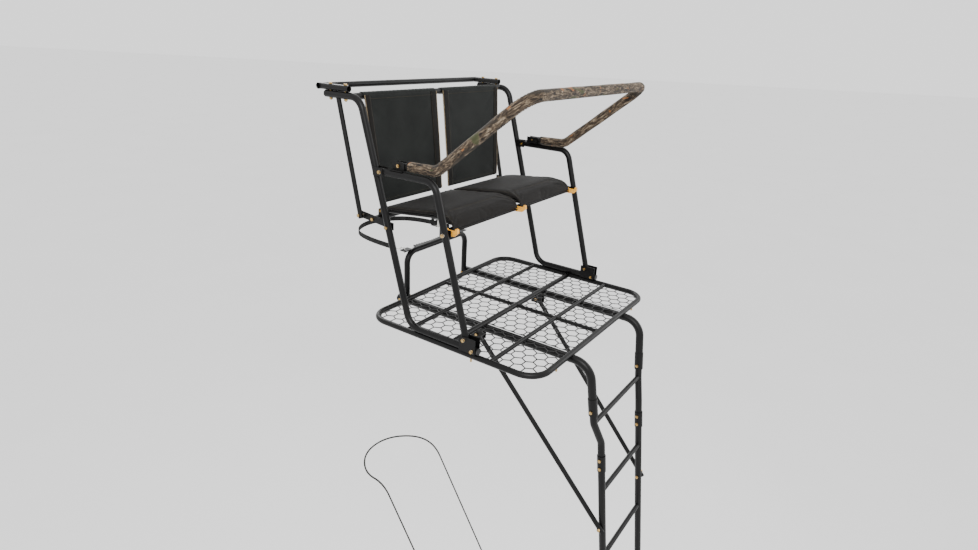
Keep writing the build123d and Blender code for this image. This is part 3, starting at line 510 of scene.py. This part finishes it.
def seat_pad(side):
    """One seat: the sling's solid, rounded, swollen like a thin pad, with creases near its front."""
    source = nodes[f"seat_sling_{side}"]
    pad = bpy.data.objects.new(f"seat_pad_{side}", source.data.copy())
    bpy.context.collection.objects.link(pad)
    pad.data.materials.clear()
    pad.data.materials.append(SEAT_CLOTH)
    remesh = pad.modifiers.new("remesh", "REMESH")
    remesh.mode = "VOXEL"
    remesh.voxel_size = SEAT_VOXEL
    relax = pad.modifiers.new("relax", "SMOOTH")
    relax.factor = 0.5
    relax.iterations = 3
    apply_modifiers(pad)
    before = np.empty(len(pad.data.vertices) * 3)
    pad.data.vertices.foreach_get("co", before)
    inflate(pad, pressure=4.0, frames=20)
    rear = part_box(f"seat_sling_{side}")[1][1]
    clamped(pad, before.reshape(-1, 3), SEAT_SHRINK, SEAT_CROWN, rear)
    crease_seat(pad, side)
    pad.data.polygons.foreach_set("use_smooth", [True] * len(pad.data.polygons))
    smooth_subdivide(pad)
    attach(pad, f"seat_{side}")
    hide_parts(f"seat_sling_{side}")
    return pad


def seam_place(edge):
    """How far behind the front the curved seam lies, at this distance from the side edge."""
    turn = min(1.0, max(0.0, (edge - SEAM_INSET) / SEAM_CORNER))
    return SEAM_INSET + SEAM_BACK * math.sin(turn * math.pi / 2)


def crease_seat(pad, side):
    """Pull creases that fan from the two front corners, and the sunk seam of the front hem."""
    low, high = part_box(f"seat_sling_{side}")
    front = low[1]
    mesh = pad.data
    facing_up = [vertex.normal.z > 0.2 for vertex in mesh.vertices]
    for vertex, is_top in zip(mesh.vertices, facing_up):
        x, y, _ = vertex.co
        from_front = y - front
        for corner_x in (low[0], high[0]):
            dx = abs(x - corner_x)
            reach = math.hypot(dx, from_front)
            if reach < CREASE_REACH and from_front < 0.15:
                angle = math.atan2(from_front, dx + 1e-6)
                fade = (1 - reach / CREASE_REACH) * min(1.0, reach / 0.03)
                vertex.co.z += CREASE_HEIGHT * fade * math.sin(angle * 17)
        edge = min(x - low[0], high[0] - x)
        seam = math.exp(-(((from_front - seam_place(edge)) / SEAM_WIDTH) ** 2))
        if is_top:
            vertex.co.z -= SEAM_DEPTH * seam


def seat_trim(side, pad):
    """Sewn side hems, curved front seam, front stitching and binding of one seat."""
    low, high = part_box(f"seat_sling_{side}")
    front = low[1]
    tree = BVHTree.FromPolygons([v.co for v in pad.data.vertices], [p.vertices for p in pad.data.polygons])

    def on_top(x, y):
        hit = tree.ray_cast(Vector((x, y, high[2] + 0.05)), Vector((0, 0, -1)))[0]
        height = hit.z if hit else high[2]
        return Vector((x, y, height + 0.0003))

    made = []
    for label, x in (("inner", low[0] + SIDE_HEM), ("outer", high[0] - SIDE_HEM)):
        start = high[1] - 0.02
        end = front + 0.03
        line = [on_top(x, start + (end - start) * i / 80) for i in range(81)]
        made.append(stitches(f"seat_{side}_{label}_stitches", line, *SEWING, THREAD))
    span = high[0] - low[0] - 2 * SEAM_INSET
    seam = []
    for i in range(161):
        edge = SEAM_INSET + span * i / 160
        from_side = min(edge, high[0] - low[0] - edge)
        seam.append(on_top(low[0] + edge, front + seam_place(from_side)))
    made.append(stitches(f"seat_{side}_seam_stitches", seam, *SEWING, THREAD))
    lip = []
    for i in range(61):
        x = low[0] + 0.004 + (high[0] - low[0] - 0.008) * i / 60
        lip.append(Vector((x, front + 0.0045, low[2] + 0.0018)))
    made.append(cord_along(f"seat_{side}_front_binding", lip, BINDING_RADIUS, HEM_CLOTH))
    for thing in made:
        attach(thing, f"seat_{side}")


# ---- backrests ----------------------------------------------------------------------
BACK_COLUMNS = 90
BACK_ROWS = 100
BACK_SHEET = 0.0022
SLEEVE_RADIUS = 0.0145
SLEEVE_ROWS = 22
SLEEVE_START = 185                      # degrees round the bar, from its rear
SLEEVE_TURN = 262
LOW_EDGE_BACK = 0.0045                  # the low edge hangs back by this, clear of a raised seat


def back_place(side, across, height):
    """Middle of the panel: across runs 0 to 1 from the inner to the outer edge, height 0 to 1."""
    sign = 1 if side == "right" else -1
    inner = 0.024 - 0.001 * height
    outer = 0.446 + 0.032 * height
    x = inner + (outer - inner) * across
    y = 0.012 + (0.0623 - 0.012) * height + LOW_EDGE_BACK * (1 - height) ** 4
    z = 0.497 + (0.942 - 0.497) * height
    return x * sign, y, z


def back_belly(across, height, phase):
    """How far the cloth stands behind its flat plane, with soft pull folds from the corners."""
    span = math.sin(math.pi * across) * math.sin(math.pi * min(1, height * 1.05))
    belly = 0.006 * max(0, span)
    for corner in ((0, 0), (1, 0), (0, 1), (1, 1)):
        dx = abs(across - corner[0])
        dz = abs(height - corner[1])
        reach = math.hypot(dx, dz)
        if 0.02 < reach < 0.5:
            angle = math.atan2(dz, dx)
            belly += 0.0011 * (1 - reach / 0.5) * math.sin(angle * 11 + phase)
    belly += 0.0007 * math.sin(height * 21 + across * 5 + phase) * max(0, span)
    return belly


def back_point(side, across, height, phase, lift=0.0):
    """A point of the hung cloth, or one that stands in front of it by lift."""
    x, y, z = back_place(side, across, height)
    belly = back_belly(across, height, phase) * min(1, (1 - height) * 6)
    return at(x, y + belly - lift, z)


def backrest(side):
    """A sling panel hung from the backrest bar by a sewn sleeve, with hems down both sides."""
    phase = 0.7 if side == "right" else 2.9
    bar_low, bar_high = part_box("backrest_bar")
    bar_y = (bar_low[1] + bar_high[1]) / 2
    bar_z = (bar_low[2] + bar_high[2]) / 2
    rows = []
    for j in range(BACK_ROWS + 1):
        height = j / BACK_ROWS
        row = []
        for i in range(BACK_COLUMNS + 1):
            row.append(back_point(side, i / BACK_COLUMNS, height, phase))
        rows.append(row)
    for k in range(1, SLEEVE_ROWS + 1):
        angle = math.radians(SLEEVE_START - k * SLEEVE_TURN / SLEEVE_ROWS)
        row = []
        for i in range(BACK_COLUMNS + 1):
            x = back_place(side, i / BACK_COLUMNS, 1)[0]
            pucker = 0.0003 * math.sin(i * 1.3 + k * 0.4)
            radius = SLEEVE_RADIUS + pucker
            row.append(Vector((x, bar_y + radius * math.cos(angle), bar_z + radius * math.sin(angle))))
        rows.append(row)
    width = BACK_COLUMNS + 1
    vertices = [v for row in rows for v in row]
    faces = []
    for j in range(len(rows) - 1):
        for i in range(BACK_COLUMNS):
            a = j * width + i
            corners = (a, a + 1, a + width + 1, a + width)
            faces.append(corners if side == "right" else corners[::-1])
    panel = piece(f"backrest_panel_{side}", vertices, faces, BACK_CLOTH)
    thick = panel.modifiers.new("thickness", "SOLIDIFY")
    thick.thickness = BACK_SHEET
    thick.offset = 0
    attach(panel, "stand")
    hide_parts(f"backrest_sling_{side}")
    made = back_trim(side, phase)


def hem_strip(side, first, last, phase, name):
    """A folded hem on the front of the panel between two widths, or along a height."""
    vertices = []
    faces = []
    for j in range(BACK_ROWS + 1):
        for k in range(5):
            across = first + (last - first) * k / 4
            rise = 0.0010 if 0 < k < 4 else 0.0
            vertices.append(back_point(side, across, j / BACK_ROWS, phase, BACK_SHEET / 2 + rise))
    for j in range(BACK_ROWS):
        for k in range(4):
            a = j * 5 + k
            corners = (a, a + 1, a + 6, a + 5)
            faces.append(corners if side == "right" else corners[::-1])
    strip = piece(name, vertices, faces, HEM_CLOTH)
    thick = strip.modifiers.new("thickness", "SOLIDIFY")
    thick.thickness = 0.0012
    thick.offset = 1
    return strip


def back_line(side, across, lift, phase, first=0.0, last=1.0):
    """A line up the panel's front at one share of its width."""
    heights = [first + (last - first) * j / BACK_ROWS for j in range(BACK_ROWS + 1)]
    return [back_point(side, across, height, phase, lift) for height in heights]


def back_row(side, height, lift, phase):
    """A line across the panel's front at one height."""
    shares = [0.02 + 0.96 * i / 60 for i in range(61)]
    return [back_point(side, across, height, phase, lift) for across in shares]


def back_trim(side, phase):
    """Hems, piping, stitching and the bottom binding of one backrest."""
    made = [
        hem_strip(side, 0.0, 0.095, phase, f"backrest_{side}_inner_hem"),
        hem_strip(side, 0.93, 1.0, phase, f"backrest_{side}_outer_hem"),
    ]
    for label, across in (("inner", 0.004), ("outer", 0.996)):
        line = back_line(side, across, 0.0015, phase)
        made.append(cord_along(f"backrest_{side}_{label}_piping", line, 0.0024, PIPING))
    for label, across in (("inner", 0.085), ("outer", 0.94)):
        line = back_line(side, across, 0.0036, phase, 0.01, 0.99)
        made.append(stitches(f"backrest_{side}_{label}_stitches", line, *SEWING, THREAD))
    for label, height in (("top", 0.965), ("bottom", 0.03)):
        row = back_row(side, height, 0.0022, phase)
        made.append(stitches(f"backrest_{side}_{label}_stitches", row, *SEWING, THREAD))
    row = back_row(side, 0.0, 0.0, phase)
    made.append(cord_along(f"backrest_{side}_bottom_binding", row, 0.0026, HEM_CLOTH))
    for thing in made:
        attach(thing, "stand")
    return made


# ---- shooting rail ------------------------------------------------------------------
RAIL_X = 0.5085
PAD_RADIUS = 0.0215
PAD_ROUTE = [(-0.207, 0.6977), (-0.345, 0.700), (-0.730, 1.010)]
PAD_BENDS = [0.07, 0.08, 0.08, 0.07]


def rail_cover():
    """The camouflage sleeve over the foam: gathered at the bends, with a sewn seam underneath."""
    left = [at(-RAIL_X, y, z) for y, z in PAD_ROUTE]
    right = [at(RAIL_X, y, z) for y, z in reversed(PAD_ROUTE)]
    line = rounded(left + right, PAD_BENDS, 0.004)
    rings = frames_along(line)
    total = rings[-1][3]
    bends = bend_strength(rings)

    def surface(distance, angle, whole):
        index = min(len(bends) - 1, int(distance / total * (len(bends) - 1)))
        strength = bends[index]
        gathers = 0.0011 * strength * math.sin(distance * 520 + 1.5 * math.sin(angle * 2))
        lumps = 0.0007 * math.sin(distance * 31 + 2.1 * math.sin(angle)) * math.sin(angle * 3 + distance * 12)
        seam = 0.0012 * math.exp(-(((angle + math.pi / 2) / 0.12) ** 2))
        end = min(distance, whole - distance)
        closing = 1 - 0.28 * math.exp(-end / 0.004)
        return (PAD_RADIUS - 0.0008 + gathers + lumps + seam) * closing

    cover = swept("rail_cover", line, surface, 48, CAMOUFLAGE)
    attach(cover, "shooting_rail")
    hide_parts("rail_pad")
    for label, part in (("left", line[:6]), ("right", line[-6:])):
        cuff = swept(f"rail_cuff_{label}", part, lambda s, a, w: PAD_RADIUS * 0.93, 32, HEM_CLOTH)
        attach(cuff, "shooting_rail")
    under = []
    for point, side, up, _ in rings[8:-8]:
        under.append(point - up * (PAD_RADIUS + 0.0002) + side * 0.004)
    seam = stitches("rail_seam_stitches", under, *RAIL_SEWING, THREAD)
    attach(seam, "shooting_rail")


def bend_strength(rings):
    """0 on straight runs and 1 in the bends, smoothed along the line."""
    turn = np.zeros(len(rings))
    for i in range(1, len(rings) - 1):
        before = (rings[i][0] - rings[i - 1][0]).normalized()
        after = (rings[i + 1][0] - rings[i][0]).normalized()
        turn[i] = 1.0 if before.angle(after, 0) > 0.01 else 0.0
    window = np.ones(17) / 17
    return np.convolve(turn, window, mode="same")


# ---- straps -------------------------------------------------------------------------
STRAP_RADIUS = 0.227                    # middle of the strap round the trunk
STRAP_Z = 0.215
STRAP_WIDTH = 0.025
STRAP_THICK = 0.002
HOOK_EYE_Y = 0.159                      # where the webbing leaves each hook
FRAME_BAR_Y = 0.1735                    # the ratchet frame's bar
SPOOL_Y = 0.216
TRUNK_Y = 0.290
ROPE_RADIUS = 0.005
ROPE_TRUNK_RADIUS = 0.232
ROPE_TRUNK_Z = -1.250
EYE_PLACE = (0.209, -1.488, -3.900)     # the right rope eye's centre
EYE_CLEAR = 0.0118                      # the rope starts just outside the eye's wire


def nurbs(name, points, order=3):
    data = bpy.data.curves.new(name, "CURVE")
    spline = data.splines.new("NURBS")
    spline.points.add(len(points) - 1)
    for spot, place in zip(spline.points, points):
        spot.co = (*place, 1)
    spline.order_u = order
    spline.use_endpoint_u = True
    spline.resolution_u = 16
    thing = bpy.data.objects.new(name, data)
    bpy.context.collection.objects.link(thing)
    return thing


def curve_line(thing):
    """Points read from a curve that has no bevel yet."""
    bpy.context.view_layer.update()
    graph = bpy.context.evaluated_depsgraph_get()
    mesh = bpy.data.meshes.new_from_object(thing.evaluated_get(graph))
    line = [thing.matrix_world @ v.co for v in mesh.vertices]
    bpy.data.meshes.remove(mesh)
    return line


def line_length(line):
    return sum((b - a).length for a, b in zip(line, line[1:]))


def flat_strap(name, points):
    """Webbing standing on edge along the spline through the route's points."""
    guide = nurbs(f"{name}_guide", points)
    line = curve_line(guide)
    bpy.data.objects.remove(guide)
    profile = [(-0.5, -0.5), (-0.5, 0.5), (-0.42, 0.62), (0.42, 0.62), (0.5, 0.5), (0.5, -0.5),
               (0.42, -0.62), (-0.42, -0.62)]
    vertices = []
    faces = []
    rings = frames_along(line)
    size = len(profile)
    for point, side, up, _ in rings:
        for high, out in profile:
            vertices.append(point + up * high * STRAP_WIDTH + side * out * STRAP_THICK * 0.8)
    for i in range(len(rings) - 1):
        for k in range(size):
            after = (k + 1) % size
            faces.append((i * size + k, i * size + after, (i + 1) * size + after, (i + 1) * size + k))
    faces.append(tuple(reversed(range(size))))
    faces.append(tuple((len(rings) - 1) * size + k for k in range(size)))
    return piece(name, vertices, faces, WEBBING, smooth=False), line


def ratchet_strap():
    """The band from the left hook half round the trunk to the ratchet, and its short tail."""
    corner = STRAP_RADIUS / math.cos(math.radians(22.5))
    side = STRAP_RADIUS * math.tan(math.radians(22.5))
    points = [at(-STRAP_RADIUS, HOOK_EYE_Y, STRAP_Z), at(-STRAP_RADIUS, TRUNK_Y + side, STRAP_Z)]
    for degrees in (112.5, 67.5):
        turn = math.radians(degrees)
        points.append(at(corner * math.cos(turn), TRUNK_Y + corner * math.sin(turn), STRAP_Z))
    points.append(at(STRAP_RADIUS, TRUNK_Y + side, STRAP_Z))
    points.append(at(STRAP_RADIUS, SPOOL_Y, STRAP_Z))
    band, line = flat_strap("strap_band", points)
    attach(band, "stand")
    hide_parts("ratchet_strap")
    start = at(STRAP_RADIUS, HOOK_EYE_Y, STRAP_Z)
    end = at(STRAP_RADIUS, FRAME_BAR_Y, STRAP_Z)
    rest, _ = flat_strap("strap_tail", [start, start.lerp(end, 0.5), end])
    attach(rest, "stand")
    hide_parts("ratchet_strap_tail")


def stabiliser_rope():
    """From an eye on the left leg up to the trunk, half round it and down to the right leg."""
    radius = ROPE_TRUNK_RADIUS
    corner = radius / math.cos(math.radians(22.5))
    side = radius * math.tan(math.radians(22.5))
    turn = math.radians(67.5)
    eye = at(*EYE_PLACE)
    trunk_side = at(radius, TRUNK_Y - 0.060, ROPE_TRUNK_Z)
    run = trunk_side - eye
    right = [
        eye + run.normalized() * EYE_CLEAR,
        eye + run.normalized() * 0.060,
        trunk_side - run.normalized() * 0.156,
        trunk_side,
        at(radius, TRUNK_Y + side, ROPE_TRUNK_Z),
        at(corner * math.cos(turn), TRUNK_Y + corner * math.sin(turn), ROPE_TRUNK_Z),
    ]
    left = [Vector((-p.x, p.y, p.z)) for p in right]
    rope = nurbs("rope_line", left + right[::-1])
    length = line_length(curve_line(rope))
    rope.data.bevel_depth = ROPE_RADIUS
    rope.data.bevel_resolution = 4
    rope.data.use_fill_caps = True
    rope.data.materials.append(ROPE)
    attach(rope, "stand")
    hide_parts("stabiliser_rope")


# ---- studio -------------------------------------------------------------------------
def area_light(name, place, target, size, power):
    data = bpy.data.lights.new(name, "AREA")
    data.shape = "DISK"
    data.size = size
    data.energy = power
    light = bpy.data.objects.new(name, data)
    bpy.context.collection.objects.link(light)
    light.location = place
    light.rotation_euler = (target - place).to_track_quat("-Z", "Y").to_euler()


def studio():
    """A white surround, three soft lights and the floor."""
    world = bpy.data.worlds.new("studio")
    bpy.context.scene.world = world
    world.use_nodes = True
    world.node_tree.nodes["Background"].inputs["Color"].default_value = (1, 1, 1, 1)
    world.node_tree.nodes["Background"].inputs["Strength"].default_value = 1.5
    target = at(0, -0.4, 0.4)
    area_light("key", at(-3.2, -2.6, 3.4), target, 2.5, 190)
    area_light("fill", at(3.5, -3.0, 1.5), target, 3.0, 50)
    area_light("rim", at(1.5, 3.0, 2.8), target, 2.0, 90)
    floor = piece("floor", [(-150, -150, 0), (150, -150, 0), (150, 150, 0), (-150, 150, 0)], [(0, 1, 2, 3)],
                  matt_floor(), smooth=False)


add_camera()
ratchet_strap()
stabiliser_rope()
dress_frame()
studio()
for seat_side in ("left", "right"):
    seat_trim(seat_side, seat_pad(seat_side))
    backrest(seat_side)
rail_cover()
